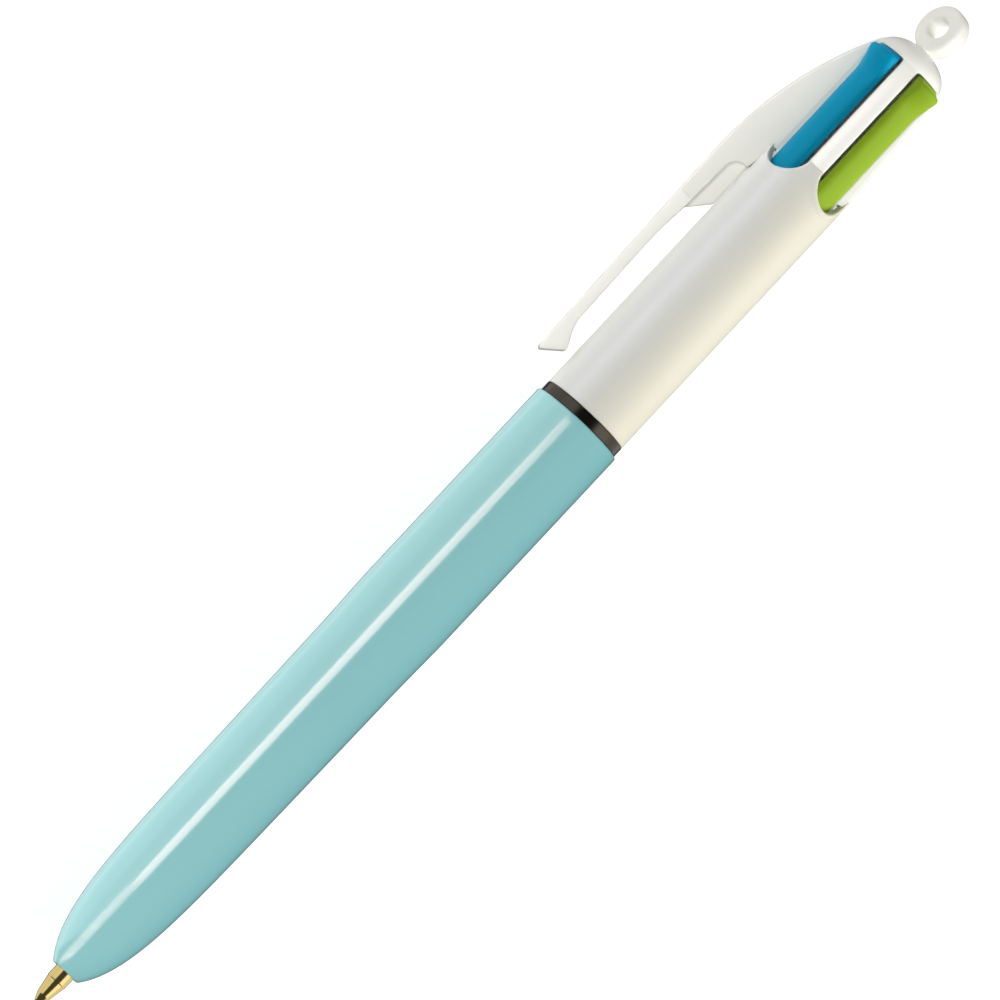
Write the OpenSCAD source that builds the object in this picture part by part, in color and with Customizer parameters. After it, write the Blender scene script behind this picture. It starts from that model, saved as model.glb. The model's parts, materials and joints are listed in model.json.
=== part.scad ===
// Four-colour retractable ballpoint pen, lying as it rests on a table.
// Sizes are in millimetres. The pen's centre line is the X axis, and the writing tip points to +X.
// The origin is on the centre line, in the middle of the lower barrel's straight grip.
// Every sub-part is drawn in pen coordinates, with Z along the centre line towards the tip,
// and lie_down() turns the finished sub-part into its place at rest.

/* [Lower barrel] */
// Radius of the straight grip
grip_r = 5.75; // [5.7:0.05:6]
// Length of the straight grip
grip_len = 27.5; // [24:0.5:30]
// Length of the lower barrel
lower_len = 82.2; // [82:0.1:84]
// Wall of the lower barrel
lower_wall = 0.9; // [0.8:0.05:0.95]
// Radius of the hole in the nose
nose_hole_r = 1.42; // [1.35:0.01:1.5]

/* [Upper barrel] */
// Outer radius of the upper barrel
upper_r = 5.45; // [5.4:0.05:5.6]
// Bore radius of the upper barrel
upper_bore_r = 4.65; // [4.6:0.05:4.75]
// Length of the upper barrel from the trim ring to the bottom of the slots
upper_len = 33.9; // [33:0.1:36]
// Length of the slots that the sliders run in
slot_len = 18.3; // [17.5:0.1:20]
// Radius of the threaded spigot
spigot_r = 5; // [4.95:0.05:5]
// Length of the spigot inside the lower barrel
spigot_len = 9; // [8:0.5:9.5]
// Length of the trim ring
ring_len = 1.3; // [1:0.1:2]

/* [Cap and clip] */
// Thickness of the cap's ribs, which part the sliders
rib_t = 2.1; // [1.8:0.1:2.3]
// Radius of the dome
dome_r = 4.4; // [4.2:0.1:4.6]
// Height of the dome
dome_h = 2.7; // [2.4:0.1:3]
// Outer radius of the lanyard loop
loop_r = 2.85; // [2.6:0.05:3.2]
// Radius of the loop's hole
loop_hole_r = 1.2; // [1:0.05:1.4]
// Thickness of the loop
loop_t = 1.7; // [1.4:0.1:2]
// Distance of the clip's outer edge from the centre line
clip_reach = 9.56; // [9.2:0.02:10]
// Width of the clip
clip_w = 2.8; // [2.4:0.1:3.2]

/* [Sliders and springs] */
// Distance that a slider travels
travel = 13.5; // [12:0.5:13.5]
// Radius of a slider's body
slider_r = 4.5; // [4.4:0.05:4.5]
// Radius of a slider's thumb tab
tab_r = 5.8; // [5.4:0.1:6]
// Gap between a slider and the ribs beside it
slider_gap = 0.15; // [0.1:0.01:0.2]
// Turns of a return spring
spring_turns = 12; // [8:1:14]
// Wire radius of a return spring
wire_r = 0.15; // [0.12:0.01:0.18]

/* [Refills] */
// Distance of a parked refill from the centre line
lane_r = 2.7; // [2.65:0.05:2.75]
// Outer radius of a refill tube
tube_r = 1.3; // [1.2:0.02:1.3]
// Bore radius of a refill tube
tube_bore_r = 0.9; // [0.8:0.05:0.95]
// Radius of the brass tip
tip_r = 1.24; // [1.1:0.02:1.24]
// Radius of the writing ball
ball_r = 0.4; // [0.3:0.05:0.45]
// Distance that a pushed-out ball stands in front of the nose
tip_out = 4.7; // [4:0.1:5]

/* [Hidden] */
$fn = 96;
INKS = ["pink", "lime", "cyan", "purple"];
INK_COLOURS = ["hotpink", "yellowgreen", "deepskyblue", "mediumpurple"];
PUSHED_OUT = "pink";
GROUPS = ["slider", "return_spring", "refill_tube", "refill_tip", "writing_ball"];

fit = 0.06;
rim_z = -grip_len / 2 - 0.25;
nose_z = rim_z + lower_len;
ring_z = rim_z - ring_len;
slot_z = ring_z - upper_len;
dome_z = slot_z - slot_len;
spigot_z = rim_z + spigot_len;
socket_z = spigot_z + 0.6;
thread_travel = 6;

finger_z = slot_z - 2.9;
finger_r = upper_r - 0.07;
notch_half = upper_r * sin(45 - asin(rib_t / 2 / upper_r));
rib_end_z = slot_z + 2.4;
rib_inner_r = 1.6;
rib_seat_r = sqrt(pow(upper_bore_r - 0.03, 2) - pow(rib_t / 2, 2));

body_end_z = rib_end_z + 0.8;
plate_t = 1.5;
plate_z = body_end_z + 25;
plate_hole_r = tube_r + 0.1;

ball_out_z = nose_z + tip_out;
tip_len = 8.9;
plug_r = tube_bore_r - 0.02;
tip_plug_len = 4;
slider_peg_len = 3;
bend_from_z = plate_z + plate_t + 0.5;
bend_to_z = ball_out_z - tip_len - 2;

arc_r = 46;
crest_z = slot_z + 2.2;
arm_root_z = slot_z + 9.7;
arm_end_z = slot_z + 32.1;
arm_slope = 0.019;
wing_gap = 0.12;

// The clip's edge and the grip both meet the table.
half_w = clip_w / 2;
rest_angle = asin(grip_r / norm([clip_reach, half_w])) - atan(half_w / clip_reach);

function is_out(i) = INKS[i] == PUSHED_OUT;
function shift(i) = is_out(i) ? travel : 0;
function smooth(t) = t <= 0 ? 0 : t >= 1 ? 1 : t * t * (3 - 2 * t);

// Radius of the lower barrel's outside, ahead of the grip: a slow taper that rounds into the nose.
taper_z = grip_len / 2 + 4.25;
function nose_r(z) =
    let (u = (z - grip_len / 2) / (nose_z + 1.2 - grip_len / 2))
    (grip_r - 0.11 - 0.0088 * (z - grip_len / 2)) * pow(1 - pow(u, 9.5), 0.64);
nose_steps = [for (s = [0:0.05:1]) taper_z + (nose_z - taper_z) * (1 - pow(1 - s, 1.8))];

// Outer edge of a rib, from the dome down to the barrel's fingers.
function rib_r(z) = dome_r + (finger_r - dome_r) * pow((z - dome_z) / (finger_z - dome_z), 0.6);

// Outer edge of the clip: an arc that leaves the dome and a straight arm that leans in a little.
function clip_edge_r(z) = z < crest_z
    ? clip_reach - arc_r + sqrt(arc_r * arc_r - pow(z - crest_z, 2))
    : clip_reach - arm_slope * (z - crest_z);

module lie_down() {
    rotate([rest_angle, 0, 0]) rotate([0, 90, 0]) children();
}

// Turns a quarter drawn between the +X and +Y axes to the place of slider i.
module in_quarter(i) {
    rotate([0, 0, 90 * i]) children();
}

// A plate in the plane of the clip, from an outline with X outwards and Y along the pen.
module clip_plate(thickness) {
    rotate([0, 0, -90]) rotate([90, 0, 0])
        translate([0, 0, -thickness / 2]) linear_extrude(thickness) children();
}

module lower_barrel() {
    outside = [for (z = nose_steps) [nose_r(z), z]];
    cavity = [for (z = nose_steps) if (z < nose_z - 0.7) [max(nose_hole_r, nose_r(z) - lower_wall), z]];
    color([0.56, 0.78, 0.80]) rotate_extrude() polygon(concat(
        [[spigot_r + fit, rim_z], [grip_r - 0.25, rim_z], [grip_r, rim_z + 0.25], [grip_r, grip_len / 2]],
        outside,
        [[nose_hole_r, nose_z], [nose_hole_r, nose_z - 0.6]],
        [for (k = [len(cavity) - 1:-1:0]) cavity[k]],
        [[grip_r - lower_wall, grip_len / 2], [grip_r - lower_wall, socket_z], [spigot_r + fit, socket_z]]
    ));
}

module trim_ring() {
    color([0.25, 0.22, 0.22]) rotate_extrude() polygon([
        [spigot_r + fit, ring_z], [upper_r - 0.1, ring_z], [upper_r, ring_z + 0.1],
        [upper_r, rim_z - 0.1], [upper_r - 0.1, rim_z], [spigot_r + fit, rim_z]
    ]);
}

// The opening that one slider shows through, cut square to the barrel in the slider's direction.
module slider_notch() {
    centre_z = slot_z - notch_half;
    rotate([0, 0, 45]) rotate([90, 0, 90]) linear_extrude(2 * upper_r) {
        translate([0, centre_z]) circle(notch_half);
        translate([-notch_half, centre_z - 10]) square([2 * notch_half, 10]);
    }
}

module upper_barrel() {
    ledge_r = upper_bore_r - 0.4;
    color([0.93, 0.92, 0.90]) difference() {
        rotate_extrude() polygon([
            [upper_bore_r, finger_z], [finger_r, finger_z], [upper_r, slot_z],
            [upper_r, ring_z], [spigot_r, ring_z], [spigot_r, spigot_z - 0.4],
            [spigot_r - 0.3, spigot_z], [ledge_r, spigot_z],
            [ledge_r, plate_z + plate_t], [upper_bore_r, plate_z + plate_t]
        ]);
        for (i = [0:3]) in_quarter(i) slider_notch();
    }
}

module spring_plate() {
    color([0.85, 0.85, 0.83]) translate([0, 0, plate_z]) difference() {
        cylinder(h = plate_t, r = upper_bore_r - 0.05);
        for (i = [0:3]) rotate([0, 0, 45 + 90 * i])
            translate([lane_r, 0, -1]) cylinder(h = plate_t + 2, r = plate_hole_r);
    }
}

module rib() {
    edge = [for (s = [0:0.125:1]) let (z = dome_z + (finger_z - 0.05 - dome_z) * s) [rib_r(z), z]];
    clip_plate(rib_t) polygon(concat(
        [[rib_inner_r, dome_z - 0.5], [dome_r - 0.4, dome_z - 0.5]],
        edge,
        [[rib_seat_r, finger_z - 0.05], [rib_seat_r, rib_end_z], [rib_inner_r, rib_end_z]]
    ));
}

// Outline of the clip's wing, which grows out of the dome and stands off the barrel.
module wing_outline() {
    arc = [for (s = [0:1 / 14:1]) let (z = dome_z - 0.7 + (crest_z - dome_z + 0.7) * s) [clip_edge_r(z), z]];
    inner_r = upper_r + wing_gap;
    polygon(concat(
        arc,
        [[clip_edge_r(arm_root_z), arm_root_z], [clip_reach - 1.96, arm_root_z]],
        [[inner_r, arm_root_z - 2.4], [inner_r, finger_z - 0.05], [rib_inner_r + 1, finger_z - 0.05]],
        [[rib_inner_r + 1, dome_z - 0.7]]
    ));
}

// Outline of the thinned web between the wing and the arm.
module web_pocket_outline() {
    corner = 1.6;
    top_z = arm_root_z - 7.9;
    edge_r = clip_reach - 2.15;
    translate([upper_r - 1, top_z + corner]) square([edge_r - upper_r + 1, 12]);
    translate([upper_r - 1, top_z]) square([edge_r - upper_r + 1 - corner, corner + 1]);
    translate([edge_r - corner, top_z + corner]) circle(corner);
}

module clip_wing() {
    web_t = 1;
    clip_plate(web_t) wing_outline();
    clip_plate(rib_t) difference() {
        wing_outline();
        web_pocket_outline();
    }
    clip_plate(clip_w) difference() {
        wing_outline();
        web_pocket_outline();
        translate([0, dome_z - 5]) square([upper_r - 0.1, 60]);
    }
}

// The loop faces the same way as the cyan slider.
module lanyard_loop() {
    edge = 0.35;
    lip = 0.2;
    half = loop_t / 2;
    loop_z = dome_z - dome_h - loop_r;
    translate([0, 0, dome_z - dome_h - 0.6]) cylinder(h = 1.2, r = 1.1);
    translate([0, 0, loop_z]) rotate([0, 0, 225]) rotate([0, 90, 0]) rotate_extrude() polygon([
        [loop_hole_r + lip, -half], [loop_r - edge, -half], [loop_r, edge - half],
        [loop_r, half - edge], [loop_r - edge, half], [loop_hole_r + lip, half],
        [loop_hole_r, half - lip], [loop_hole_r, lip - half]
    ]);
}

module top_cap() {
    color([0.93, 0.92, 0.90]) {
        rotate_extrude() polygon(concat(
            [[0, dome_z]],
            [for (a = [0:7.5:90]) [dome_r * cos(a), dome_z - dome_h * sin(a)]]
        ));
        for (i = [0:3]) rotate([0, 0, 90 * i]) rib();
        clip_wing();
        lanyard_loop();
    }
}

// The clip's springy arm, with the barb that holds the cloth.
module pocket_clip() {
    barb_z = arm_end_z - 2.1;
    barb_r = 6.95;
    nose = 0.55;
    color([0.93, 0.92, 0.90]) clip_plate(clip_w) polygon(concat(
        [[clip_edge_r(arm_root_z), arm_root_z], [clip_edge_r(arm_end_z), arm_end_z - 0.3]],
        [[clip_edge_r(arm_end_z) - 0.3, arm_end_z]],
        [for (a = [60:20:220]) [barb_r + nose * cos(a), barb_z + nose * sin(a)]],
        [[clip_reach - 1.9, barb_z - 2.6], [clip_reach - 1.65, arm_root_z + 3.5]],
        [[clip_reach - 1.96, arm_root_z]]
    ));
}

// Cross-section of the space between two ribs, out to a radius.
module quarter_outline(radius) {
    inner = rib_t / 2 + slider_gap;
    intersection() {
        circle(radius);
        translate([inner, inner]) square(radius);
    }
}

// Profile of the thumb tab along the slider: a rounded top and a hollow slope.
module tab_profile(top_z) {
    slope_len = 2.9;
    foot_r = slider_r - 0.15;
    polygon(concat(
        [[0, top_z + 0.4], [tab_r - 0.45, top_z + 0.4], [tab_r, top_z + 0.85]],
        [for (s = [0:0.125:1]) [foot_r + (tab_r - foot_r) * pow(1 - s, 2), top_z + 1 + slope_len * s]],
        [[0, top_z + 1 + slope_len]]
    ));
}

module slider(i) {
    top_z = dome_z + 0.1 + shift(i);
    bottom_z = body_end_z + shift(i);
    crown_centre = 3.12;
    color(INK_COLOURS[i]) in_quarter(i) {
        translate([0, 0, top_z]) linear_extrude(bottom_z - top_z) quarter_outline(slider_r);
        intersection() {
            translate([0, 0, top_z]) linear_extrude(6) quarter_outline(tab_r + 1);
            rotate([0, 0, 45]) translate([crown_centre, 0, top_z]) cylinder(h = 6, r = tab_r - crown_centre);
            rotate_extrude() tab_profile(top_z);
        }
        rotate([0, 0, 45]) translate([lane_r, 0, bottom_z - 1]) cylinder(h = slider_peg_len + 1, r = plug_r);
    }
}

// A closed tube through rings of points, each ring with the same number of corners.
module skin(rings, closed) {
    n = len(rings[0]);
    m = len(rings);
    last = closed ? m - 1 : m - 2;
    walls = [for (k = [0:last], j = [0:n - 1]) let (a = k * n, b = (k + 1) % m * n, q = (j + 1) % n)
        [a + j, b + j, b + q, a + q]];
    ends = closed ? [] : [[for (j = [0:n - 1]) j], [for (j = [n - 1:-1:0]) (m - 1) * n + j]];
    polyhedron([for (ring = rings, p = ring) p], concat(walls, ends), convexity = 10);
}

// A coil round the parked refill, squeezed to half its length where the slider is pushed down.
module return_spring(i) {
    steps = 12;
    coil_r = tube_r + 0.2 + wire_r;
    from_z = body_end_z + shift(i) + wire_r + 0.02;
    to_z = plate_z - wire_r - 0.02;
    end_pitch = 2.2 * wire_r;
    middle = to_z - from_z - 2 * end_pitch;
    function coil_z(turn) =
        turn < 1 ? from_z + end_pitch * turn
        : turn > spring_turns - 1 ? to_z - end_pitch * (spring_turns - turn)
        : from_z + end_pitch + middle * (turn - 1) / (spring_turns - 2);
    rings = [for (k = [0:spring_turns * steps]) let (a = 360 * k / steps)
        [for (b = [0:60:300]) let (r = coil_r + wire_r * cos(b))
            [r * cos(a), r * sin(a), coil_z(k / steps) + wire_r * sin(b)]]];
    color("silver") rotate([0, 0, 45 + 90 * i]) translate([lane_r, 0, 0]) skin(rings, false);
}

// Sideways place of the pushed-out refill: parked in the plate, on the centre line in the nose.
function bent_x(z) = lane_r * (1 - smooth((z - bend_from_z) / (bend_to_z - bend_from_z)));

module refill_tube(i) {
    sides = 16;
    from_z = body_end_z + shift(i);
    to_z = ball_out_z - travel - tip_len + shift(i);
    steps = 24;
    function station(k) = bend_from_z + (to_z - bend_from_z) * k / steps;
    function ring(r, z, way) = [for (j = [0:sides - 1]) let (a = way * 360 * j / sides)
        [bent_x(z) + r * cos(a), r * sin(a), z]];
    stations = concat([from_z], [for (k = [0:steps]) station(k)]);
    m = len(stations);
    color([0.85, 0.88, 0.90]) rotate([0, 0, 45 + 90 * i])
        if (is_out(i))
            skin(concat(
                [for (z = stations) ring(tube_r, z, 1)],
                [for (k = [m - 1:-1:0]) ring(tube_bore_r, stations[k], 1)]
            ), true);
        else
            translate([lane_r, 0, from_z]) difference() {
                cylinder(h = to_z - from_z, r = tube_r);
                translate([0, 0, -1]) cylinder(h = to_z - from_z + 2, r = tube_bore_r);
            }
}

// Puts a point that is drawn at the ball's front end in its lane, or in the nose if it is out.
module at_tip(i) {
    rotate([0, 0, 45 + 90 * i])
        translate([is_out(i) ? 0 : lane_r, 0, ball_out_z - travel + shift(i)]) children();
}

module refill_tip(i) {
    socket_r = ball_r + 0.02;
    lip = 0.3;
    lip_r = sqrt(socket_r * socket_r - pow(ball_r - lip, 2));
    socket = [for (a = [asin((ball_r - lip) / socket_r):-15:-90])
        [socket_r * cos(a), socket_r * sin(a) - ball_r]];
    color([0.80, 0.65, 0.30]) at_tip(i) rotate_extrude() polygon(concat(
        [[0, -tip_len - tip_plug_len], [plug_r, -tip_len - tip_plug_len], [plug_r, -tip_len]],
        [[tip_r, -tip_len], [tip_r, -3.3], [tip_r - 0.07, -3.2], [0.84, -1.25]],
        [[lip_r + 0.08, -lip]],
        socket,
        [[0, -ball_r - socket_r]]
    ));
}

module writing_ball(i) {
    color([0.45, 0.45, 0.48]) at_tip(i) translate([0, 0, -ball_r]) sphere(ball_r, $fn = 32);
}

lie_down() lower_barrel();
lie_down() trim_ring();
lie_down() upper_barrel();
lie_down() spring_plate();
lie_down() top_cap();
lie_down() pocket_clip();
for (i = [0:3]) {
    lie_down() slider(i);
    lie_down() return_spring(i);
    lie_down() refill_tube(i);
    lie_down() refill_tip(i);
    lie_down() writing_ball(i);
}
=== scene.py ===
"""Looks of the four-colour click pen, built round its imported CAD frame.

Shapes are worked out in pen millimetres: x along the centre line towards the tip, and round it either
an angle from the side that faces the camera, turning towards the clip, or the two distances
(face, clip) along those directions. Everything is turned into metres in the frame when it is made.
"""
import json
import math

import bmesh
import bpy
from mathutils import Matrix, Vector


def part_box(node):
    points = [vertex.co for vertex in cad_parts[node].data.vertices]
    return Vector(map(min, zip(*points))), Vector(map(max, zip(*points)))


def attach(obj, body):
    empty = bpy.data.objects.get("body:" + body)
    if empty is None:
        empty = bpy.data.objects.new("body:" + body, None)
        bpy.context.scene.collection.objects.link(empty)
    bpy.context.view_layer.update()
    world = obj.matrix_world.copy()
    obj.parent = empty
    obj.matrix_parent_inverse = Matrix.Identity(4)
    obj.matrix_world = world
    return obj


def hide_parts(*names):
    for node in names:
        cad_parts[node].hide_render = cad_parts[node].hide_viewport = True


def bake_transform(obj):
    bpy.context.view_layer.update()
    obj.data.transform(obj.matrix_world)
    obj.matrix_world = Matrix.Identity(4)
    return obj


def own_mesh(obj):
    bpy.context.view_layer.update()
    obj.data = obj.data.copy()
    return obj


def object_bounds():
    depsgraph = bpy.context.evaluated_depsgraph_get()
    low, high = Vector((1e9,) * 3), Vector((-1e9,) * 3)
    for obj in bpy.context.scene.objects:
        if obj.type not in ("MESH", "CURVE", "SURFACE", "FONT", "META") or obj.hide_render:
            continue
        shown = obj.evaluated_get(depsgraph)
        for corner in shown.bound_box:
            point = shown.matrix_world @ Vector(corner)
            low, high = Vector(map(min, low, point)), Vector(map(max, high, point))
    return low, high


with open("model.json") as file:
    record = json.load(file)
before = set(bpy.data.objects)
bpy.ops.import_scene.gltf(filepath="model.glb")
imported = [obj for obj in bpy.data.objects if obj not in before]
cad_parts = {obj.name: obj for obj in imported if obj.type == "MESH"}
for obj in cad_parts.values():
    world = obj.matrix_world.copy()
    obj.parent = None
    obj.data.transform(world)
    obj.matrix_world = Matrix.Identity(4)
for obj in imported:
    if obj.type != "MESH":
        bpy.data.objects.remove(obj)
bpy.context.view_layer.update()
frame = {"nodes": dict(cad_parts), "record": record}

MM = 0.001
MOUNTS = {mount["name"]: mount for mount in frame["record"]["mounts"]}
AXIS = Vector((1, 0, 0))
CLIP_WAY = Vector(MOUNTS["pocket_clip"]["axis"]).normalized()
FACE_WAY = CLIP_WAY.cross(AXIS)

INKS = ("pink", "lime", "cyan", "purple")
LANE_ANGLE = {"pink": -135, "lime": -45, "cyan": 45, "purple": 135}
RIB_ANGLES = (0, 90, 180, 270)
PUSHED_OUT = "pink"
TRAVEL = 13.5


def span(node):
    """First and last x of a CAD node, in millimetres."""
    lo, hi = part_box(node)
    return lo.x / MM, hi.x / MM


def radius_of(node):
    """Radius of a round CAD node that sits on the centre line."""
    lo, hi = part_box(node)
    return (hi.z - lo.z) / 2 / MM


RIM_X, NOSE_X = span("lower_barrel")
GRIP_R = radius_of("lower_barrel")
RING_X = span("trim_ring")[0]
UPPER_R = radius_of("trim_ring")
FINGER_X, SPIGOT_X = span("upper_barrel")
LOOP_END_X = span("top_cap")[0]
ARM_ROOT_X, ARM_END_X = span("pocket_clip")
PLATE_X, PLATE_END_X = span("spring_plate")
SLIDER_TOP_X = span("slider_cyan")[0]
SLIDER_PEG = 3
SLIDER_END_X = span("slider_cyan")[1] - SLIDER_PEG
BALL_OUT_X = span("writing_ball_" + PUSHED_OUT)[1]

# Barrels. The origin is in the middle of the straight grip.
GRIP_END_X = -RIM_X - 0.25
WALL = 0.9
NOSE_HOLE_R = 1.42
SPIGOT_R = 5.0
SOCKET_R = 5.06
PITCH = 1.5
UPPER_BORE_R = 4.65
LEDGE_R = 4.25
FINGER_LEN = 2.9
FINGER_R = UPPER_R - 0.07
SLOT_X = FINGER_X + FINGER_LEN
RIB_T = 2.1
NOTCH_HALF = UPPER_R * math.sin(math.radians(45) - math.asin(RIB_T / 2 / UPPER_R))

# Cap and clip.
DOME_X = SLIDER_TOP_X - 0.1
DOME_R = 4.4
DOME_H = 2.7
CAD_LOOP_R = 2.85
LOOP_X = LOOP_END_X + CAD_LOOP_R
LOOP_HOLE_R = 1.3
LOOP_R = 3.0
LOOP_T = 2.2
CLIP_REACH = 9.56
CLIP_W = 2.8
CREST_X = SLOT_X + 2.2
CREST_CURVE_R = 46
ARM_SLOPE = 0.019
ARM_INNER_R = CLIP_REACH - 1.96

# Sliders, refills and springs.
SLIDER_R = 4.5
SLIDER_GAP = 0.15
SLIDER_ROUND = 0.16
TAB_X = SLIDER_TOP_X + 0.42
TAB_R = 5.8
TAB_ROUND = 0.45
LANE_R = 2.7
TUBE_R = 1.3
TUBE_BORE_R = 0.9
PLUG_R = TUBE_BORE_R - 0.02
TIP_R = 1.24
TIP_LEN = 8.9
PLUG_LEN = 4
BALL_R = 0.4
COIL_R = 1.65
WIRE_R = 0.15
SPRING_TURNS = 12
BEND_FROM_X = PLATE_END_X + 0.5
BEND_TO_X = BALL_OUT_X - TIP_LEN - 2

CAMERA_TILT = math.radians(5)


# ---------------------------------------------------------------- shapes

def spot(x, face, clip):
    """A point of the frame from pen millimetres."""
    return (AXIS * x + FACE_WAY * face + CLIP_WAY * clip) * MM


def round_spot(x, r, angle):
    """A point of the frame from x, a radius and an angle from the camera's side."""
    return spot(x, r * math.cos(angle), r * math.sin(angle))


def turned(x, face, clip, turn):
    """A point in pen millimetres, turned round the centre line from the clip's side to the camera's."""
    c, s = math.cos(turn), math.sin(turn)
    return (x, face * c + clip * s, -face * s + clip * c)


def from_columns(right, up, back, origin=(0, 0, 0)):
    """The matrix whose columns are three directions and an origin."""
    return Matrix(tuple(zip(right, up, back, origin)) + ((0, 0, 0, 1),))


def smooth(t):
    t = min(max(t, 0), 1)
    return t * t * (3 - 2 * t)


def mix(a, b, t):
    return a + (b - a) * t


def steps(a, b, count):
    return [mix(a, b, k / count) for k in range(count + 1)]


def bend(start, corner, end, count):
    """Points of the curve that leaves start towards corner and arrives at end from it."""
    return [start * (1 - t) ** 2 + corner * 2 * t * (1 - t) + end * t * t for t in steps(0, 1, count)]


def rounded(corners, closed=True, arc=5):
    """A path through corners (x, y, rounding), where a short curve replaces each corner with a rounding."""
    out = []
    last = len(corners) - 1
    for k, corner in enumerate(corners):
        size = corner[2] if len(corner) > 2 else 0
        here = Vector(corner[:2])
        if size <= 0 or (not closed and k in (0, last)):
            out.append(tuple(here))
            continue
        before = Vector(corners[k - 1][:2])
        after = Vector(corners[(k + 1) % len(corners)][:2])
        reach_in = min(size, (before - here).length * 0.49)
        reach_out = min(size, (after - here).length * 0.49)
        start = here + (before - here).normalized() * reach_in
        end = here + (after - here).normalized() * reach_out
        out += [tuple(point) for point in bend(start, here, end, arc)]
    return out


def mesh_of(name, verts, faces, merge=0.0):
    """A mesh with its normals outwards, and with points that are closer than merge joined."""
    mesh = bpy.data.meshes.new(name)
    mesh.from_pydata([tuple(v) for v in verts], [], faces)
    work = bmesh.new()
    work.from_mesh(mesh)
    if merge:
        bmesh.ops.remove_doubles(work, verts=work.verts, dist=merge)
    bmesh.ops.recalc_face_normals(work, faces=work.faces)
    work.to_mesh(mesh)
    work.free()
    return mesh


def add_object(name, data):
    """A new object in the scene."""
    obj = bpy.data.objects.new(name, data)
    bpy.context.scene.collection.objects.link(obj)
    return obj


def make(name, verts, faces, finish, sharp=40, merge=0.0):
    """A smooth-shaded mesh object from points in metres, with edges sharper than an angle left sharp."""
    mesh = mesh_of(name, verts, faces, merge)
    mesh.shade_smooth()
    mesh.set_sharp_from_angle(angle=math.radians(sharp))
    mesh.materials.append(finish)
    return add_object(name, mesh)


def grid_faces(rows, columns, wrap_rows, wrap_columns, first=0):
    """Faces between rows of points, which may close on themselves either way."""
    faces = []
    for i in range(rows if wrap_rows else rows - 1):
        for j in range(columns if wrap_columns else columns - 1):
            a, b = i * columns, (i + 1) % rows * columns
            q = (j + 1) % columns
            faces.append((first + a + j, first + b + j, first + b + q, first + a + q))
    return faces


def rod_faces(rows, columns):
    """Faces of a rod made of rings of points, with flat ends."""
    ends = [tuple(range(columns)), tuple(range((rows - 1) * columns, rows * columns))]
    return grid_faces(rows, columns, False, True) + ends


def lathe(path, segments=128, centre=(0, 0), thread=None):
    """Points and faces of a closed outline (x, r) turned round an axis. thread(x, r, angle) adds to r."""
    verts = []
    for x, r in path:
        for k in range(segments):
            angle = 2 * math.pi * k / segments
            grown = r + (thread(x, r, angle) if thread else 0)
            verts.append(spot(x, centre[0] + grown * math.cos(angle), centre[1] + grown * math.sin(angle)))
    return verts, grid_faces(len(path), segments, True, True)


def sweep(centres, sides, radius, start_way):
    """A round wire along a list of points, with flat ends."""
    verts = []
    way = start_way
    for k, here in enumerate(centres):
        ahead = (centres[min(k + 1, len(centres) - 1)] - centres[max(k - 1, 0)]).normalized()
        way = (way - ahead * way.dot(ahead)).normalized()
        other = ahead.cross(way)
        for j in range(sides):
            a = 2 * math.pi * j / sides
            verts.append(here + (way * math.cos(a) + other * math.sin(a)) * radius)
    return verts, rod_faces(len(centres), sides)


# ---------------------------------------------------------------- materials

def material(name, colour, roughness, metallic=0.0, coat=0.0, inside=0.0, grain=0.0, gloss=0.5, coat_ior=1.5):
    """A procedural finish: fine grain in the surface and a little unevenness in the colour."""
    unevenness, patches_per_metre, grains_per_metre = 0.035, 60.0, 400.0
    made = bpy.data.materials.new(name)
    made.use_nodes = True
    nodes, links = made.node_tree.nodes, made.node_tree.links
    shader = nodes["Principled BSDF"]
    shader.inputs["Roughness"].default_value = roughness
    shader.inputs["Metallic"].default_value = metallic
    shader.inputs["Coat Weight"].default_value = coat
    shader.inputs["Coat Roughness"].default_value = 0.12
    shader.inputs["Coat IOR"].default_value = coat_ior
    shader.inputs["Specular IOR Level"].default_value = gloss
    shader.inputs["Base Color"].default_value = (*colour, 1)
    if inside:
        shader.inputs["Subsurface Weight"].default_value = inside
        shader.inputs["Subsurface Radius"].default_value = (1.0, 0.9, 0.8)
        shader.inputs["Subsurface Scale"].default_value = 0.6 * MM
    where = nodes.new("ShaderNodeTexCoord")
    patches = nodes.new("ShaderNodeTexNoise")
    patches.inputs["Scale"].default_value = patches_per_metre
    patches.inputs["Detail"].default_value = 3.0
    links.new(where.outputs["Object"], patches.inputs["Vector"])
    shade = nodes.new("ShaderNodeMix")
    shade.data_type = "RGBA"
    shade.inputs["A"].default_value = (*colour, 1)
    shade.inputs["B"].default_value = (*(c * (1 - unevenness) for c in colour), 1)
    links.new(patches.outputs["Fac"], shade.inputs["Factor"])
    links.new(shade.outputs["Result"], shader.inputs["Base Color"])
    if grain:
        fine = nodes.new("ShaderNodeTexNoise")
        fine.inputs["Scale"].default_value = grains_per_metre
        fine.inputs["Detail"].default_value = 2.0
        links.new(where.outputs["Object"], fine.inputs["Vector"])
        bump = nodes.new("ShaderNodeBump")
        bump.inputs["Strength"].default_value = grain
        bump.inputs["Distance"].default_value = 0.02 * MM
        links.new(fine.outputs["Fac"], bump.inputs["Height"])
        links.new(bump.outputs["Normal"], shader.inputs["Normal"])
    return made


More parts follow.
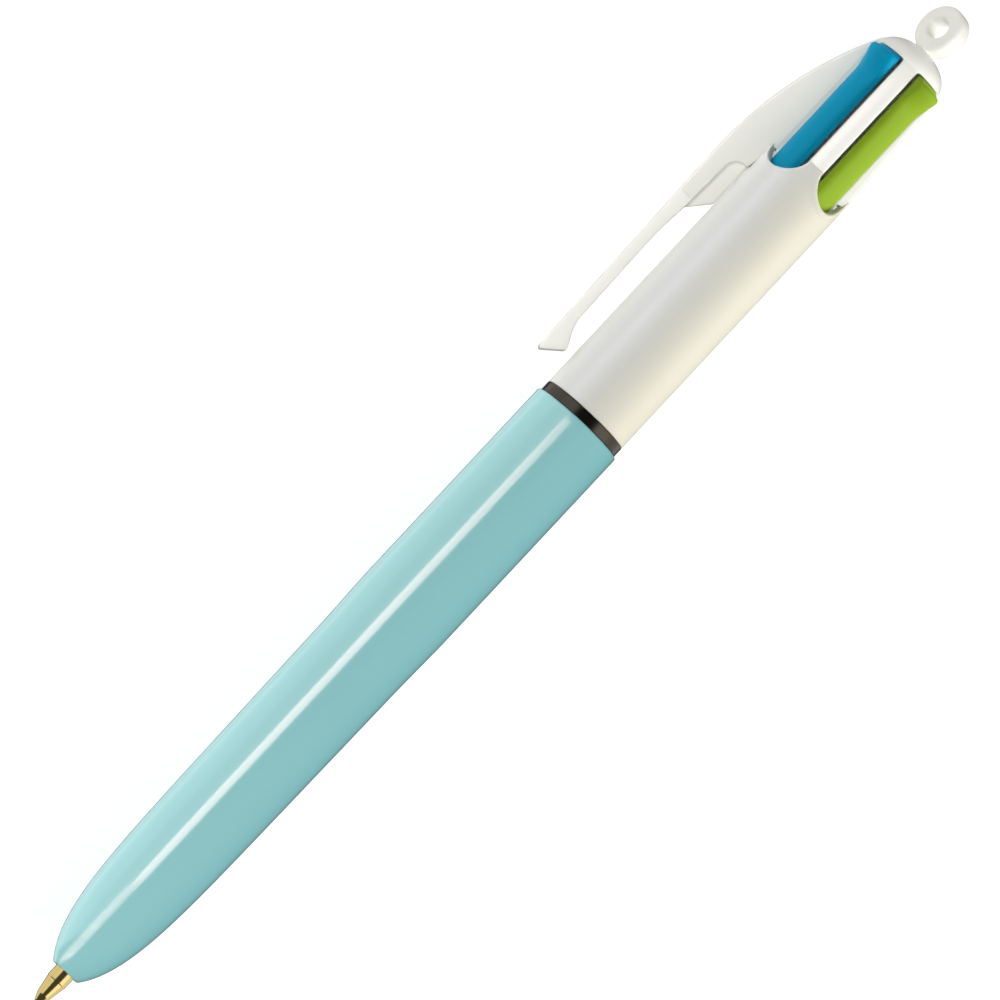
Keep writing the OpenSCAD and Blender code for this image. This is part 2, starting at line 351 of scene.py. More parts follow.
WHITE = material("white_plastic", (0.85, 0.84, 0.78), 0.32, coat=0.25, inside=0.15, grain=0.25)
# The upper barrel gets a darker, warmer copy of the cap's white plastic: painted shade that makes the barrel
# read darker than the cap under the same light.
SHADED_WHITE = material("white_barrel_plastic_painted_shade", (0.70, 0.67, 0.545), 0.32, coat=0.25, inside=0.15, grain=0.25)
AQUA = material("aqua_plastic", (0.305, 0.715, 0.735), 0.22, coat=1.0, coat_ior=1.7, grain=0.12)
DARK = material("dark_metal", (0.085, 0.075, 0.060), 0.24, metallic=1.0, grain=0.2)
GUIDE = material("guide_plastic", (0.70, 0.70, 0.68), 0.45, grain=0.3)
INK_PLASTIC = {
    "pink": material("pink_plastic", (0.80, 0.07, 0.25), 0.3, grain=0.12, gloss=0.3),
    "lime": material("lime_plastic", (0.30, 0.47, 0.022), 0.42, grain=0.12, gloss=0.15),
    "cyan": material("cyan_plastic", (0.0, 0.42, 0.70), 0.3, grain=0.12, gloss=0.12),
    "purple": material("purple_plastic", (0.20, 0.08, 0.50), 0.3, grain=0.12, gloss=0.3),
}
STEEL = material("spring_steel", (0.55, 0.55, 0.56), 0.25, metallic=1.0, grain=0.1)
TUBE = material("tube_plastic", (0.72, 0.74, 0.75), 0.3, coat=0.2, inside=0.3, grain=0.1)
BRASS = material("brass", (0.83, 0.65, 0.25), 0.16, metallic=1.0, grain=0.06)
BALL_STEEL = material("ball_steel", (0.30, 0.30, 0.32), 0.15, metallic=1.0, grain=0.05)


# ---------------------------------------------------------------- lower barrel and ring

def nose_r(x):
    """Outer radius of the lower barrel: a straight grip, a slow taper, and a round-over into the nose."""
    flare, flare_len, slope = 0.11, 9, 0.0088
    lateness, fullness, blunt = 9.5, 0.64, 1.2
    ahead = max(x - GRIP_END_X, 0)
    share = ahead / (NOSE_X + blunt - GRIP_END_X)
    taper = (GRIP_R - flare - slope * ahead) * (1 - share ** lateness) ** fullness
    return taper + flare * (1 - smooth((x - GRIP_END_X + 1) / flare_len))


def helix(from_x, to_x, height):
    """A right-handed ridge with soft flanks, or a groove if height is negative, fading in at both ends.
    It touches only radii near the thread."""
    fade = 0.8
    low, high = SPIGOT_R - 0.35, SOCKET_R + 0.2
    steepness, valley = 1.9, 0.45

    def thread(x, r, angle):
        if not (from_x < x < to_x and low < r < high):
            return 0
        turn = (x - from_x) / PITCH - angle / (2 * math.pi)
        phase = turn - math.floor(turn)
        ridge = min(1, max(0, steepness * (1 - abs(2 * phase - 1)) - valley))
        ends = smooth((x - from_x) / fade) * smooth((to_x - x) / fade)
        return height * smooth(ridge) * ends
    return thread


def build_lower_barrel():
    nose_edge_r = nose_r(NOSE_X)
    straight = steps(RIM_X + 1, GRIP_END_X, 6)
    ahead = [mix(GRIP_END_X, NOSE_X - 0.12, 1 - (1 - share) ** 2.1) for share in steps(0, 1, 70)[1:]]
    outside = [(x, nose_r(x)) for x in straight + ahead]
    cavity_end = NOSE_X - 0.7
    cavity = [(x, max(NOSE_HOLE_R, nose_r(x) - WALL)) for x in steps(cavity_end, GRIP_END_X, 40)]
    mouth = rounded([(RIM_X + 2, SOCKET_R), (RIM_X, SOCKET_R, 0.15), (RIM_X, GRIP_R, 0.28),
                     (RIM_X + 1, GRIP_R)], closed=False)[1:-1]
    nose = rounded([(NOSE_X - 0.5, nose_edge_r + 0.3), (NOSE_X, nose_edge_r, 0.09),
                    (NOSE_X, NOSE_HOLE_R, 0.07), (cavity_end, NOSE_HOLE_R)], closed=False)[1:-1]
    socket_end = SPIGOT_X + 0.6
    shoulder = [(GRIP_END_X - 1, GRIP_R - WALL), (socket_end, GRIP_R - WALL), (socket_end, SOCKET_R)]
    bore = [(x, SOCKET_R) for x in steps(socket_end - 0.02, RIM_X + 0.3, 90)]
    path = mouth + outside + nose + cavity + shoulder + bore
    verts, faces = lathe(path, 144, thread=helix(RIM_X + 0.5, socket_end - 0.2, -0.26))
    barrel = make("lower_barrel_shell", verts, faces, AQUA)
    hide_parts("lower_barrel")
    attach(barrel, "grip")
    return barrel


def build_ring():
    path = rounded([(RING_X, SOCKET_R, 0.05), (RING_X, UPPER_R, 0.14), (RIM_X, UPPER_R, 0.14),
                    (RIM_X, SOCKET_R, 0.05)])
    verts, faces = lathe(path, 144)
    ring = make("trim_ring_band", verts, faces, DARK)
    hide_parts("trim_ring")
    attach(ring, "ring")
    return ring


# ---------------------------------------------------------------- upper barrel

def build_upper_barrel():
    """The tube, with four U-shaped openings. Round each opening the wall is a fan: rays leave its border
    and end on the ribs' middles and on the plain tube."""
    notch_x = SLOT_X - NOTCH_HALF
    tube_x = SLOT_X + 4
    last = math.acos((FINGER_X - notch_x) / NOTCH_HALF)
    corner = math.radians(50)
    rays = steps(-last, -corner, 10) + steps(-corner, corner, 26)[1:] + steps(corner, last, 10)[1:]
    shares = [(k / 18) ** 2.2 for k in range(19)]

    def edge_shape(distance):
        """What the rounded, slightly raised rim of an opening adds to the outer radius."""
        bead = 0.09 * smooth(1 - abs(distance - 0.3) / 0.5)
        drop = 0.16 * (1 - math.sqrt(max(0, 1 - (1 - min(distance / 0.16, 1)) ** 2)))
        return bead - drop

    def fan(ray, share, r):
        """Sideways distance and x of a point of the wall round an opening, on a cylinder of radius r."""
        side = r * math.sin(math.radians(45))
        size = abs(ray)
        start = (NOTCH_HALF * math.sin(size), notch_x + NOTCH_HALF * math.cos(size))
        if size < corner:
            end = (side * size / corner, tube_x)
        else:
            end = (side, mix(tube_x, FINGER_X, (size - corner) / (last - corner)))
        s, x = mix(start[0], end[0], share), mix(start[1], end[1], share)
        return math.copysign(s, ray), x

    def wall_point(ray, share, r):
        """The same point as x, radius and angle, with the outside shaped round the opening."""
        s, x = fan(ray, share, r)
        around = math.asin(max(-1, min(1, s / r)))
        if r < UPPER_R:
            return x, r, around
        distance = math.hypot(s, x - notch_x) - NOTCH_HALF
        return x, mix(FINGER_R, UPPER_R, smooth((x - FINGER_X) / FINGER_LEN)) + edge_shape(distance), around

    rows = [[wall_point(ray, share, UPPER_R) for ray in rays] for share in reversed(shares)]
    rows += [[wall_point(ray, share, UPPER_BORE_R) for ray in rays] for share in shares]
    on_tube = [ray for ray in rays if abs(ray) < corner + 1e-6]
    verts, faces = [], []
    columns = [math.radians(angle) for angle in RIB_ANGLES]
    for rib in RIB_ANGLES:
        way = math.radians(rib + 45)
        first = len(verts)
        verts += [round_spot(x, r, way + around) for row in rows for x, r, around in row]
        faces += grid_faces(len(rows), len(rays), False, False, first)
        for j in (0, len(rays) - 1):
            ends = [first + i * len(rays) + j for i in range(len(rows))]
            faces += [(ends[i], ends[i + 1], ends[-2 - i], ends[-1 - i]) for i in range(len(shares) - 1)]
        columns += [way + math.asin(fan(ray, 1, UPPER_R)[0] / UPPER_R) for ray in on_tube]

    columns = sorted({round(angle % (2 * math.pi), 6) for angle in columns})
    thread_r = SPIGOT_R - 0.28
    straight = [(x, UPPER_R) for x in steps(tube_x, RING_X - 1, 10)]
    shoulder = rounded([(tube_x, UPPER_R), (RING_X, UPPER_R, 0.14), (RING_X, SPIGOT_R, 0.05),
                        (RIM_X + 1, SPIGOT_R)], closed=False)[1:-1]
    spigot = [(x, thread_r) for x in steps(RIM_X + 0.6, SPIGOT_X - 0.6, 84)]
    tail = [(SPIGOT_X - 0.35, thread_r), (SPIGOT_X, SPIGOT_R - 0.5), (SPIGOT_X, LEDGE_R)]
    inside = [(PLATE_END_X + 0.02, LEDGE_R), (PLATE_END_X, UPPER_BORE_R),
              (mix(PLATE_X, tube_x, 0.5), UPPER_BORE_R), (tube_x, UPPER_BORE_R)]
    path = straight + shoulder + spigot + tail + inside
    thread = helix(RIM_X + 0.4, SPIGOT_X - 0.2, 0.27)
    first = len(verts)
    verts += [round_spot(x, r + thread(x, r, angle), angle) for x, r in path for angle in columns]
    faces += grid_faces(len(path), len(columns), False, True, first)
    # The barrel's material is the darker copy of the white plastic, with painted shade in its colour.
    barrel = make("upper_barrel_shell", verts, faces, SHADED_WHITE, merge=0.012 * MM)
    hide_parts("upper_barrel")
    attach(barrel, "upper_body")
    return barrel


# ---------------------------------------------------------------- cap and clip, one moulding

def rib_r(x):
    """Outer radius of a rib, from the dome down to the barrel's fingers."""
    share = min(max((x - DOME_X) / (FINGER_X - DOME_X), 0), 1)
    return DOME_R + (FINGER_R - DOME_R) * share ** 0.6


def clip_edge_r(x):
    """Outer edge of the clip: an arc that leaves the dome, and a straight arm that leans in a little."""
    if x < CREST_X:
        return CLIP_REACH - CREST_CURVE_R + math.sqrt(CREST_CURVE_R ** 2 - (x - CREST_X) ** 2)
    return CLIP_REACH - ARM_SLOPE * (x - CREST_X)


def circle(x, r, count):
    """Points (x, face, clip) of a circle round the centre line."""
    angles = [2 * math.pi * k / count for k in range(count)]
    return [(x, r * math.cos(a), r * math.sin(a)) for a in angles]


class Lump:
    """Collects closed solids in pen millimetres, to be fused into one moulding."""

    def __init__(self):
        self.verts, self.faces = [], []

    def add(self, verts, faces):
        first = len(self.verts)
        self.verts += verts
        self.faces += [tuple(first + i for i in face) for face in faces]

    def plate(self, outline, half_width, turn=0):
        """An outline (radius, x) in the clip's plane, thickened to both sides of it and then turned."""
        n = len(outline)
        verts = [turned(x, face, r, turn) for face in (-half_width, half_width) for r, x in outline]
        faces = [tuple(range(n)), tuple(range(2 * n - 1, n - 1, -1))]
        faces += [(k, k + n, (k + 1) % n + n, (k + 1) % n) for k in range(n)]
        self.add(verts, faces)

    def loft(self, rings):
        self.add([point for ring in rings for point in ring], rod_faces(len(rings), len(rings[0])))


def add_dome(lump):
    rings = []
    for a in steps(0, math.pi / 2, 24):
        rings.append(circle(DOME_X - DOME_H * math.sin(a), max(DOME_R * math.cos(a), 0.02), 96))
    lump.loft(rings)


def add_ribs(lump):
    """Four ribs that part the sliders, crowned to the barrel's own roundness, with feet in its bore."""
    half = RIB_T / 2
    foot_in, foot_out = 1.6, math.sqrt((UPPER_BORE_R - 0.04) ** 2 - half ** 2)
    foot_x, foot_end_x = FINGER_X - 0.6, SLOT_X + 2.4
    for rib in RIB_ANGLES:
        turn = math.radians(rib)
        rings = []
        for x in steps(DOME_X - 0.5, FINGER_X + 0.9, 44):
            r = rib_r(x) if x > DOME_X else DOME_R - 0.1
            r -= 0.06 * smooth((x - FINGER_X) / 0.4)
            arc = [(math.sqrt(r * r - y * y), y) for y in steps(half, -half, 8)]
            rings.append([turned(x, y, q, turn) for q, y in [(0, half)] + arc + [(0, -half)]])
        lump.loft(rings)
        foot = [(foot_in, foot_x), (foot_out, foot_x), (foot_out, foot_end_x), (foot_in, foot_end_x)]
        lump.plate(foot, half, turn)


def add_wing(lump):
    """The wing: a web between thicker edges, from the dome to the root of the arm."""
    half, web_half = RIB_T / 2, 0.5
    inner_r = UPPER_R + 0.06
    start_x, start_r, finger_x = DOME_X - 0.7, 2.6, FINGER_X - 0.05
    edge = [(clip_edge_r(x), x) for x in steps(start_x, CREST_X, 28)]
    in_arm_x = ARM_ROOT_X + 0.4
    end = [(clip_edge_r(in_arm_x), in_arm_x), (ARM_INNER_R, in_arm_x)]
    back = [(inner_r, finger_x), (start_r, finger_x), (start_r, start_x)]
    lump.plate(edge + end + [(ARM_INNER_R, ARM_ROOT_X), (inner_r, ARM_ROOT_X - 2.4)] + back, web_half)

    # The thicker edges go round a shallow pocket in front of the arm's root.
    pocket_x, pocket_r, pocket_bend = ARM_ROOT_X - 7.9, CLIP_REACH - 2.15, 1.6
    pocket = [(pocket_r - pocket_bend * (1 - math.cos(a)), pocket_x + pocket_bend * (1 - math.sin(a)))
              for a in steps(0, math.pi / 2, 10)]
    under = end + [(ARM_INNER_R, ARM_ROOT_X - 0.3)] + pocket + [(inner_r, pocket_x)]
    lump.plate(edge + under + back, half)

    # A thicker foot where the wing meets the barrel, between the two sliders beside it.
    foot = half + 0.12
    beside_r, out_r = SLIDER_R + 0.13, inner_r + 0.2
    lump.plate([(beside_r, FINGER_X - 0.5), (out_r, FINGER_X - 0.5), (out_r, SLOT_X - 0.9),
                (UPPER_R + 0.05, SLOT_X - 0.9), (UPPER_R - 0.1, FINGER_X + 1.35),
                (beside_r, FINGER_X + 1.1)], foot)

    # Its faces lean out from the sliders to the width of the arm.
    body = under + back[:1]
    for share in steps(0, 1, 14):
        least = mix(beside_r, CLIP_REACH - 0.5, share)
        layer = [(r, x) for r, x in edge if r > least] + [(max(r, least), x) for r, x in body]
        layer[-1] = (least, finger_x if least < inner_r else pocket_x)
        lump.plate(layer + [(least, layer[0][1])], mix(foot, CLIP_W / 2, share))


def add_arm(lump):
    """The clip's arm, with the barb at its end."""
    barb_x, barb_r, barb_round = ARM_END_X - 2.1, 6.95, 0.55
    inner = rounded([(ARM_INNER_R, ARM_ROOT_X - 1), (ARM_INNER_R, ARM_ROOT_X + 0.3, 1.0),
                     (CLIP_REACH - 1.65, ARM_ROOT_X + 3.5, 2.2), (CLIP_REACH - 1.9, barb_x - 2.6, 1.3),
                     (barb_r - barb_round * 0.8, barb_x - barb_round * 0.6)], closed=False, arc=8)
    end_r = clip_edge_r(ARM_END_X)
    arm = [(clip_edge_r(ARM_ROOT_X - 1), ARM_ROOT_X - 1), (end_r, ARM_END_X - 0.35),
           (end_r - 0.2, ARM_END_X - 0.08), (end_r - 0.4, ARM_END_X - 0.06)]
    arm += [(barb_r + barb_round * math.cos(math.radians(a)), barb_x + barb_round * math.sin(math.radians(a)))
            for a in range(125, 216, 10)]
    lump.plate(arm + inner[::-1], CLIP_W / 2)


def add_loop(lump):
    """The neck and the lanyard loop, which faces the way of the cyan slider."""
    neck_x = DOME_X - DOME_H
    rings = []
    for x in steps(neck_x + 0.8, LOOP_X + LOOP_R - 0.6, 12):
        rings.append(circle(x, 1.1 + 0.5 * smooth((x - neck_x + 0.15) / 0.9), 48))
    lump.loft(rings)
    path = rounded([(-LOOP_T / 2, LOOP_HOLE_R, 0.35), (-LOOP_T / 2, LOOP_R, 0.5), (LOOP_T / 2, LOOP_R, 0.5),
                    (LOOP_T / 2, LOOP_HOLE_R, 0.35)], arc=7)
    segments = 96
    turn = math.radians(-LANE_ANGLE["cyan"])
    verts = []
    for across, r in path:
        for _, along, side in circle(0, r, segments):
            verts.append(turned(LOOP_X + along, across, side, turn))
    lump.add(verts, grid_faces(len(path), segments, True, True))


def fuse(name, lump):
    """One object in the frame from all the lump's solids, with soft joins between them."""
    rough = add_object("lump", mesh_of("lump", lump.verts, lump.faces))
    remesh = rough.modifiers.new("fuse", "REMESH")
    remesh.mode = "VOXEL"
    remesh.voxel_size = 0.1
    soften = rough.modifiers.new("soften", "SMOOTH")
    soften.factor = 0.5
    soften.iterations = 12
    seen = rough.evaluated_get(bpy.context.evaluated_depsgraph_get())
    fused = bpy.data.meshes.new_from_object(seen)
    bpy.data.objects.remove(rough)
    fused.transform(Matrix.Scale(MM, 4) @ from_columns(AXIS, FACE_WAY, CLIP_WAY))
    fused.shade_smooth()
    fused.materials.clear()
    fused.materials.append(WHITE)
    return add_object(name, fused)


def build_cap():
    lump = Lump()
    add_dome(lump)
    add_ribs(lump)
    add_wing(lump)
    add_arm(lump)
    add_loop(lump)
    cap = fuse("cap_and_clip", lump)
    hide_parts("top_cap", "pocket_clip")
    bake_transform(cap)
    return cap


# ---------------------------------------------------------------- sliders, refills and springs

def pushed(ink):
    """How far an ink's slider and refill stand forward at rest."""
    return TRAVEL if ink == PUSHED_OUT else 0


def lane_spot(ink, r=LANE_R):
    """Distances (face, clip) of an ink's lane, or of another radius in its direction."""
    way = math.radians(LANE_ANGLE[ink])
    return r * math.cos(way), r * math.sin(way)


def slider_outer(angle, x):
    """Radius of a slider's outside, angle away from its middle: the body, and the flared thumb tab."""
    body = SLIDER_R - 0.02 * smooth((x - TAB_X - 6) / 3)
    into = x - TAB_X
    if into < -1e-6:
        return body
    if into < TAB_ROUND:
        rise = TAB_R - TAB_ROUND * (1 - math.sqrt(max(0, 1 - (1 - into / TAB_ROUND) ** 2)))
    else:
        rise = TAB_R - (TAB_R - body) * smooth((into - TAB_ROUND) / 3.2) ** 0.8
    if rise <= body:
        return body
    crown = 3.12
    room = max(0.01, (TAB_R - crown) ** 2 - (crown * math.sin(angle)) ** 2)
    reach = crown * math.cos(angle) + math.sqrt(room)
    return max(body, min(rise, mix(body, reach, (rise - body) / (TAB_R - body))))


def slider_section(x, shrink, soft_side):
    """One cross-section, as points (along, across) in the slider's own direction: the point of the wedge,
    and between its two flat sides the arc of the outside, rounded into them, more so at soft_side."""
    wall = RIB_T / 2 + SLIDER_GAP
    bends, limits = [], []
    for side in (-1, 1):
        plane, size = wall + shrink, 0.3
        if side == soft_side:
            plane += 0.16
            size = mix(1.25, 0.9, smooth((TAB_X + 5 - x) / 3))
        edge = math.radians(45) - math.asin(plane / slider_outer(0, x))
        r = slider_outer(edge, x) - shrink
        length = math.sqrt(r * r - plane * plane)
        limit = edge - size / r
        start, corner = [Vector((d + plane, side * (d - plane))) * math.sqrt(0.5)
                         for d in (length - size, length)]
        end = Vector((math.cos(limit), side * math.sin(limit))) * (slider_outer(limit, x) - shrink)
        bends.append(bend(start, corner, end, 8))
        limits.append(side * limit)
    arc = [Vector((math.cos(a), math.sin(a))) * (slider_outer(a, x) - shrink)
           for a in steps(*limits, 20)[1:-1]]
    point = Vector(((wall + shrink) * math.sqrt(2) + 0.2, 0))
    return [point] + bends[0] + arc + bends[1][::-1]


def build_slider(ink):
    out = pushed(ink)
    way = math.radians(LANE_ANGLE[ink])
    soft_side = -1 if ink in ("cyan", "pink") else 1
    stations = [SLIDER_TOP_X + d for d in (0, 0.03, 0.08, SLIDER_ROUND)]
    stations += [TAB_X + d for d in (-0.1, -0.001, 0, 0.015, 0.05, 0.11, 0.19, 0.3)]
    stations += [TAB_X + TAB_ROUND + d for d in steps(0, 3.4, 18)]
    stations += steps(TAB_X + 5.5, SLIDER_END_X, 6)
    verts = []
    for x in stations:
        inset = max(0, SLIDER_ROUND - (x - SLIDER_TOP_X))
        shrink = SLIDER_ROUND - math.sqrt(max(0, SLIDER_ROUND ** 2 - inset ** 2))
        section = slider_section(x, shrink, soft_side)
        verts += [round_spot(x + out, p.length, way + math.atan2(p.y, p.x)) for p in section]
    faces = rod_faces(len(stations), len(section))
    first = len(verts)
    peg_end = SLIDER_END_X + SLIDER_PEG
    peg = rounded([(SLIDER_END_X - 0.5, 0.02), (SLIDER_END_X - 0.5, PLUG_R), (peg_end, PLUG_R, 0.2),
                   (peg_end, 0.02)])
    peg_verts, peg_faces = lathe([(x + out, r) for x, r in peg], 32, lane_spot(ink))
    verts += peg_verts
    faces += [tuple(first + i for i in face) for face in peg_faces]
    slider = make("thumb_slider_" + ink, verts, faces, INK_PLASTIC[ink], sharp=50)
    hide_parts("slider_" + ink)
    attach(slider, ink + "_slider")
    return slider


def bend_share(x):
    """How far the pushed-out refill has moved from its lane to the centre line."""
    return smooth((x - BEND_FROM_X) / (BEND_TO_X - BEND_FROM_X))


def build_tube(ink, front_x):
    is_out = ink == PUSHED_OUT
    start_x = SLIDER_END_X + pushed(ink)
    stations = [start_x] + steps(start_x + 1, front_x - TIP_LEN, 56)
    rows = [(x, TUBE_R) for x in stations] + [(x, TUBE_BORE_R) for x in reversed(stations)]
    sides = 28
    verts = []
    for x, r in rows:
        face, clip = lane_spot(ink, LANE_R * (1 - (bend_share(x) if is_out else 0)))
        for k in range(sides):
            a = 2 * math.pi * k / sides
            verts.append(spot(x, face + r * math.cos(a), clip + r * math.sin(a)))
    tube = make("ink_tube_" + ink, verts, grid_faces(len(rows), sides, True, True), TUBE, sharp=50)
    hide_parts("refill_tube_" + ink)
    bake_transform(tube)
    return tube


def build_tip(ink, front_x, centre):
    """The brass tip: plug, collar, a fine step, the cone and the lip that holds the ball."""
    lip_r = 0.42
    path = rounded([
        (-TIP_LEN - PLUG_LEN, 0.02), (-TIP_LEN - PLUG_LEN, PLUG_R, 0.12), (-TIP_LEN, PLUG_R),
        (-TIP_LEN, TIP_R, 0.06), (-3.32, TIP_R, 0.05), (-3.24, TIP_R - 0.06, 0.03),
        (-3.1, TIP_R - 0.08, 0.05), (-1.25, 0.84, 0.25), (-0.32, lip_r + 0.03, 0.04),
        (-0.27, lip_r - 0.06, 0.02),
    ], closed=False)
    path += [(-BALL_R + lip_r * math.sin(math.radians(a)), lip_r * math.cos(math.radians(a)))
             for a in range(10, -86, -15)]
    path += [(-BALL_R - lip_r, 0.02)]
    verts, faces = lathe([(front_x + x, r) for x, r in path], 64, centre)
    tip = make("brass_tip_" + ink, verts, faces, BRASS, sharp=35)
    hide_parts("refill_tip_" + ink)
    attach(tip, ink + "_point")
    return tip


def build_ball(ink, front_x, centre):
    path = [(front_x - BALL_R + BALL_R * math.cos(a), max(0.001, BALL_R * math.sin(a)))
            for a in steps(0, math.pi, 24)]
    verts, faces = lathe(path, 40, centre)
    ball = make("rolling_ball_" + ink, verts, faces, BALL_STEEL, sharp=80)
    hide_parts("writing_ball_" + ink)
    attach(ball, ink + "_point")
    return ball


def build_refill(ink):
    front_x = BALL_OUT_X - TRAVEL + pushed(ink)
    centre = (0, 0) if ink == PUSHED_OUT else lane_spot(ink)
    return [build_tube(ink, front_x), build_tip(ink, front_x, centre), build_ball(ink, front_x, centre)]


def build_spring(ink):
    """A coil between the slider and the plate, with one closed turn at each end."""
    out = pushed(ink)
    from_x = SLIDER_END_X + out + WIRE_R + 0.02
    to_x = PLATE_X - WIRE_R - 0.02
    closed_turn = 2.2 * WIRE_R
    face, clip = lane_spot(ink)
    centres = []
    count = SPRING_TURNS * 28
    for k in range(count + 1):
        turn = k * SPRING_TURNS / count
        if turn < 1:
            x = from_x + closed_turn * turn
        elif turn > SPRING_TURNS - 1:
            x = to_x - closed_turn * (SPRING_TURNS - turn)
        else:
            x = mix(from_x + closed_turn, to_x - closed_turn, (turn - 1) / (SPRING_TURNS - 2))
        a = 2 * math.pi * turn
        centres.append(spot(x, face + COIL_R * math.cos(a), clip + COIL_R * math.sin(a)))
    verts, faces = sweep(centres, 8, WIRE_R * MM, AXIS)
    spring = make("return_coil_" + ink, verts, faces, STEEL, sharp=60)
    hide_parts("return_spring_" + ink)
    if ink == PUSHED_OUT:
        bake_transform(spring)
    else:
        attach(spring, "upper_body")
        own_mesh(spring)
    return spring


# ---------------------------------------------------------------- studio

def add_camera():
    """Camera at the photograph's angle: square to the clip, a little towards the tip, with a long lens."""
    distance, seen_width = 1.6, 109.48 * MM
    roll = math.radians(133.04)
    back = FACE_WAY * math.cos(CAMERA_TILT) + AXIS * math.sin(CAMERA_TILT)
    level = (AXIS - back * AXIS.dot(back)).normalized()
    right = level * math.cos(roll) + back.cross(level) * math.sin(roll)
    data = bpy.data.cameras.new("camera")
    data.sensor_width = 36
    data.lens = data.sensor_width * distance / seen_width
    data.clip_start, data.clip_end = 0.01, 20
    camera = add_object("camera", data)
    aim = spot(-2.07, 0, 0.46)
    camera.matrix_world = from_columns(right, back.cross(right), back, aim + back * distance)
    bpy.context.scene.camera = camera


def add_floor():
    """A white light table under the pen. Mirror rays don't see it, so the metals keep their dark stripes."""
    table_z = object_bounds()[0].z
    side = 3
    corners = [(x, y, table_z) for x, y in ((-side, -side), (side, -side), (side, side), (-side, side))]
    paper = material("light_table", (0.80, 0.80, 0.80), 0.9)
    shader = paper.node_tree.nodes["Principled BSDF"]
    shader.inputs["Emission Color"].default_value = (1, 1, 1, 1)
    shader.inputs["Emission Strength"].default_value = 0.8
    floor = make("floor", corners, [(0, 1, 2, 3)], paper)
    floor.visible_glossy = False


def add_softbox(name, angle, x, distance, width, length, radiance, lean=0, lit=None, shine=True,
                colour=(1, 1, 1)):
    """A flat light that faces a place x on the pen, at an angle from the camera's side towards the clip.
    A light that leans has moved that many degrees towards the tip. It falls on the objects in lit, or on
    everything, and one without shine isn't mirrored in them."""
    a, lean = math.radians(angle), math.radians(lean)
    square = FACE_WAY * math.cos(a) + CLIP_WAY * math.sin(a)
    back = square * math.cos(lean) + AXIS * math.sin(lean)
    long_way = AXIS * math.cos(lean) - square * math.sin(lean)
    data = bpy.data.lights.new(name, "AREA")
    data.shape = "RECTANGLE"
    data.size, data.size_y = width, length
    data.energy = radiance * math.pi * width * length
    data.color = colour
    light = add_object(name, data)
    light.visible_glossy = shine
    light.matrix_world = from_columns(long_way.cross(back), long_way, back, AXIS * (x * MM) + back * distance)
    if lit:
        receivers = bpy.data.collections.new(name + "_lit")
        for obj in lit:
            receivers.objects.link(obj)
        light.light_linking.receiver_collection = receivers


def add_glints(barrel, colour):
    """A row of small lights that carries the highlight on round the nose. Each stands where the surface,
    at the highlight's distance from the centre line, mirrors it to the camera."""
    from_x, to_x, highlight_r = 50, NOSE_X - 0.4, 1.0
    first_lean, spacing = 9, math.radians(8)
    distance, full_width, length = 0.15, 0.048, 0.024
    to_camera = Vector((math.sin(CAMERA_TILT), math.cos(CAMERA_TILT), 0))
    last = None
    for x in steps(from_x, to_x, 300):
        slope = math.atan((nose_r(x - 0.1) - nose_r(x + 0.1)) / 0.2)
        around = math.asin(highlight_r / nose_r(x))
        outward = math.cos(slope)
        normal = Vector((math.sin(slope), outward * math.cos(around), outward * math.sin(around)))
        way = normal * (2 * normal.dot(to_camera)) - to_camera
        lean = math.degrees(math.asin(way.x))
        if lean > first_lean and (last is None or way.angle(last) > spacing):
            angle = math.degrees(math.atan2(way.z, way.y))
            width = full_width * GRIP_R / nose_r(x)
            radiance = 2.6 - lean / 60
            add_softbox("nose_glint", angle, x, distance, width, length, radiance, lean=lean, lit=[barrel],
                        colour=colour)
            last = way


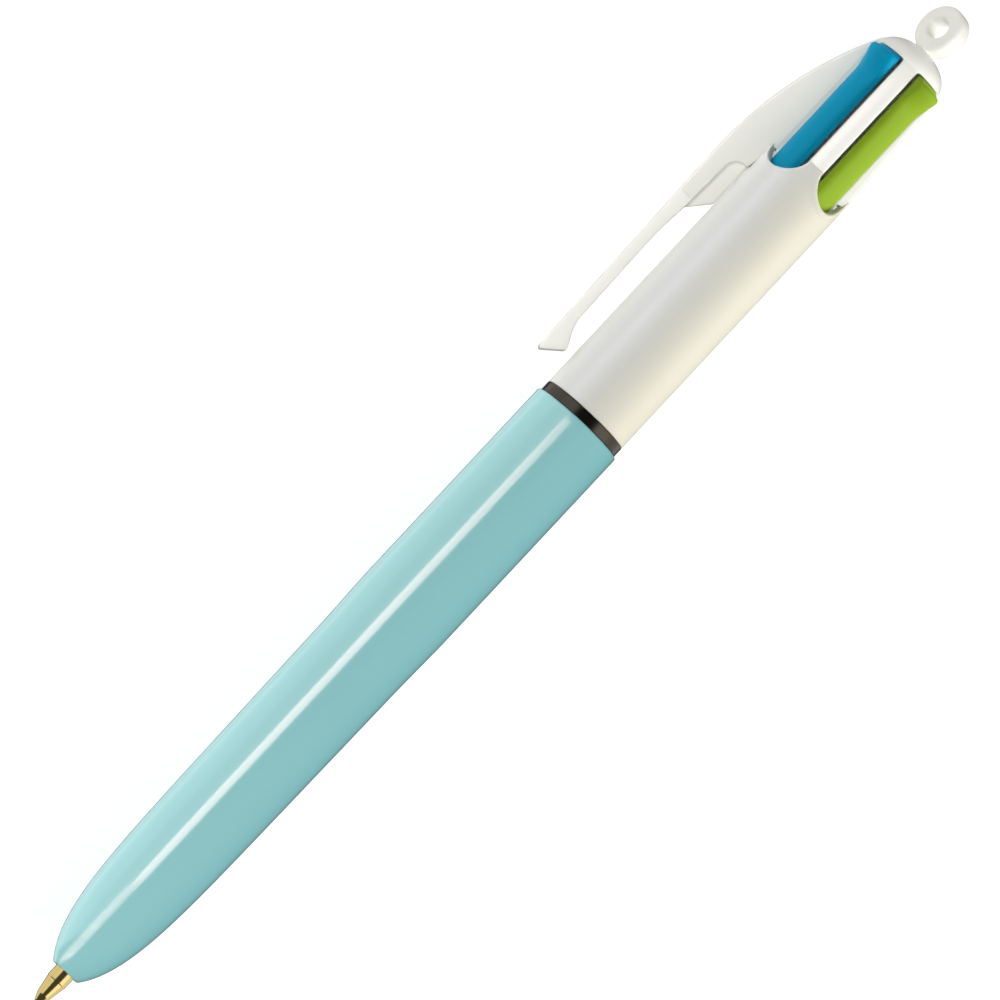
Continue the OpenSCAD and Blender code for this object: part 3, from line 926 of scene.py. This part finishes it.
def add_lights(barrel, upper, cap, sliders, others):
    """A faint room and softboxes, each given by name, angle, x, distance, width, length and radiance. On the
    clip's side, a light beyond about 62 degrees stands below the table, and only mirror rays see it."""
    world = bpy.data.worlds.new("world")
    bpy.context.scene.world = world
    world.use_nodes = True
    room = world.node_tree.nodes["Background"]
    room.inputs["Color"].default_value = (1, 1, 1, 1)
    room.inputs["Strength"].default_value = 0.06
    warm, cool = (1, 0.73, 0.69), (0.82, 0.92, 1.3)
    add_softbox("clip_panel", 46, 0, 0.70, 0.62, 0.9, 0.82, lit=[barrel, upper] + sliders + others)
    add_softbox("front_panel", -24, 0, 0.80, 0.40, 0.9, 0.56, shine=False)
    add_softbox("far_panel", -68, 0, 0.70, 0.80, 0.9, 1.15, shine=False)
    add_softbox("far_fill", -62, 10, 0.70, 0.80, 0.9, 0.80, lit=[barrel], shine=False)
    add_softbox("clip_rim", 96, 20, 0.50, 0.52, 0.7, 1.0, lit=[barrel])
    add_softbox("clip_edge", 140, 0, 0.50, 0.36, 0.9, 0.75, lit=[barrel, upper])
    add_softbox("metal_clip_rim", 106, 20, 0.50, 0.70, 0.9, 0.8, lit=others)
    add_softbox("metal_far_rim", -118, 20, 0.50, 0.60, 0.9, 0.8, lit=others)
    add_softbox("clip_end", 0, -20, 0.40, 0.30, 0.30, 2.6, lean=80, lit=[cap], shine=False)
    add_softbox("upper_rim", -70, -26, 0.15, 0.15, 0.08, 1.6, lit=[upper], shine=False)
    add_softbox("metal_panel", -62, 0, 0.70, 0.62, 0.9, 1.2, lit=others)
    add_softbox("far_side", -78, -58, 0.15, 0.17, 0.062, 5.5, lit=[upper, cap] + sliders, shine=False)
    add_softbox("clip_side", 62, -42, 0.15, 0.10, 0.12, 6.6, lit=[upper], shine=False, colour=cool)
    add_softbox("cap_panel", 16, -45, 0.8, 0.4, 0.5, 5.9, lit=[cap])
    add_softbox("strip", 20.5, 20, 0.50, 0.16, 0.16, 5.1, lit=[barrel], colour=warm)
    add_glints(barrel, warm)


add_camera()
lower = build_lower_barrel()
others = [build_ring()]
upper = build_upper_barrel()
cap = build_cap()
sliders = []
for ink in INKS:
    sliders.append(build_slider(ink))
    others += build_refill(ink) + [build_spring(ink)]
plate = frame["nodes"]["spring_plate"]
plate.data.materials.clear()
plate.data.materials.append(GUIDE)
add_floor()
add_lights(lower, upper, cap, sliders, others + [plate])

bpy.context.scene.view_settings.view_transform = "Standard"
